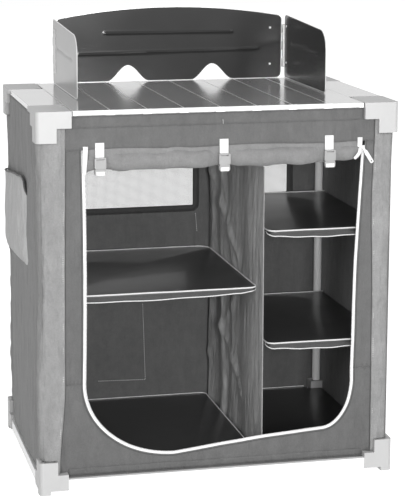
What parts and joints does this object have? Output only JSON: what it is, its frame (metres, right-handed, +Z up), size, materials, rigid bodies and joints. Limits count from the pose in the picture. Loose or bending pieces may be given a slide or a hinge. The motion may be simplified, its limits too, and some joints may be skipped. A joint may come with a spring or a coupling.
{
  "type": "camp kitchen chuck box",
  "caption": "Free-standing camp kitchen box: slatted roll-up worktop on a tube frame, fabric cabinet with shelves and rolled door, folding wind guard on top.",
  "frame": {"origin": "on the ground under the middle of the box", "axes": "+Z up, +X to the right seen from the front, the open front faces -Y"},
  "size_m": [0.8, 0.52, 1.0122],
  "materials": {
    "corner_plastic": "smooth moulded",
    "white_tube": "white powder coat",
    "slat_aluminium": "polished, mirror-like",
    "guard_sheet": "glossy sheet",
    "hinge_steel": "bright plated",
    "mid_fabric": "coated woven polyester",
    "dark_fabric": "coated woven polyester",
    "light_fabric": "coated woven polyester",
    "net": "open net",
    "board": "black coated board",
    "webbing": "white webbing and tape",
    "buckle_plastic": "moulded"
  },
  "bodies": {
    "frame": {"top_corner_front_left": "corner_plastic", "top_corner_front_right": "corner_plastic", "top_corner_rear_left": "corner_plastic", "top_corner_rear_right": "corner_plastic", "bottom_corner_front_left": "corner_plastic", "bottom_corner_front_right": "corner_plastic", "bottom_corner_rear_left": "corner_plastic", "bottom_corner_rear_right": "corner_plastic", "leg_front_left": "white_tube", "leg_front_right": "white_tube", "leg_rear_left": "white_tube", "leg_rear_right": "white_tube", "top_rail_front": "white_tube", "top_rail_rear": "white_tube", "top_rail_left": "white_tube", "top_rail_right": "white_tube", "bottom_rail_front": "white_tube", "bottom_rail_rear": "white_tube", "bottom_rail_left": "white_tube", "bottom_rail_right": "white_tube", "cover_front": "mid_fabric", "cover_left": "mid_fabric", "cover_right": "mid_fabric", "cover_rear": "mid_fabric", "cover_floor": "dark_fabric", "cover_band": "dark_fabric", "corner_strips": "light_fabric", "divider_wall": "mid_fabric", "window_nets": "net", "side_pocket": "light_fabric", "shelf_left": "board", "shelf_right_upper": "board", "shelf_right_lower": "board", "floor_boards": "board", "rolled_door": "mid_fabric", "door_zip": "webbing", "zip_slider": "hinge_steel", "roll_straps": "webbing", "buckle_sockets": "buckle_plastic"},
    "worktop": {"deck_slat_1": "slat_aluminium", "deck_slat_2": "slat_aluminium", "deck_slat_3": "slat_aluminium", "deck_slat_4": "slat_aluminium", "deck_slat_5": "slat_aluminium", "deck_slat_6": "slat_aluminium", "deck_slat_7": "slat_aluminium", "deck_slat_8": "slat_aluminium", "deck_end_slats": "slat_aluminium", "slat_clips": "corner_plastic"},
    "wind_guard": {"windshield_back": "guard_sheet", "hinge_back_leaves": "hinge_steel", "hinge_pins": "hinge_steel"},
    "left_wing": {"windshield_left_wing": "guard_sheet", "hinge_left_leaf": "hinge_steel"},
    "right_wing": {"windshield_right_wing": "guard_sheet", "hinge_right_leaf": "hinge_steel"},
    "pull_tab": {"zip_pull": "hinge_steel"},
    "plug_left": {"buckle_plug_left": "buckle_plastic"},
    "plug_middle": {"buckle_plug_middle": "buckle_plastic"},
    "plug_right": {"buckle_plug_right": "buckle_plastic"}
  },
  "joints": [
    {"name": "worktop_lift", "type": "slide", "parent": "frame", "child": "worktop", "axis": [0, 0, 1], "range_m": [0, 0.12]},
    {"name": "wind_guard_lift", "type": "slide", "parent": "worktop", "child": "wind_guard", "axis": [0, 0, 1], "range_m": [0, 0.1]},
    {"name": "left_wing_hinge", "type": "hinge", "parent": "wind_guard", "child": "left_wing", "pos_m": [-0.277, 0.2485, 0.91], "axis": [0, 0, 1], "range_deg": [-90, 89]},
    {"name": "right_wing_hinge", "type": "hinge", "parent": "wind_guard", "child": "right_wing", "pos_m": [0.286, 0.2485, 0.91], "axis": [0, 0, 1], "range_deg": [-86, 90]},
    {"name": "pull_tab_hinge", "type": "hinge", "parent": "frame", "child": "pull_tab", "pos_m": [0.321, -0.2549, 0.737], "axis": [-0.8387, 0, -0.5446], "range_deg": [0, 120]},
    {"name": "buckle_slide_left", "type": "slide", "parent": "frame", "child": "plug_left", "axis": [0, 0, -1], "range_m": [0, 0.018]},
    {"name": "buckle_slide_middle", "type": "slide", "parent": "frame", "child": "plug_middle", "axis": [0, 0, -1], "range_m": [0, 0.018]},
    {"name": "buckle_slide_right", "type": "slide", "parent": "frame", "child": "plug_right", "axis": [0, 0, -1], "range_m": [0, 0.018]}
  ]
}
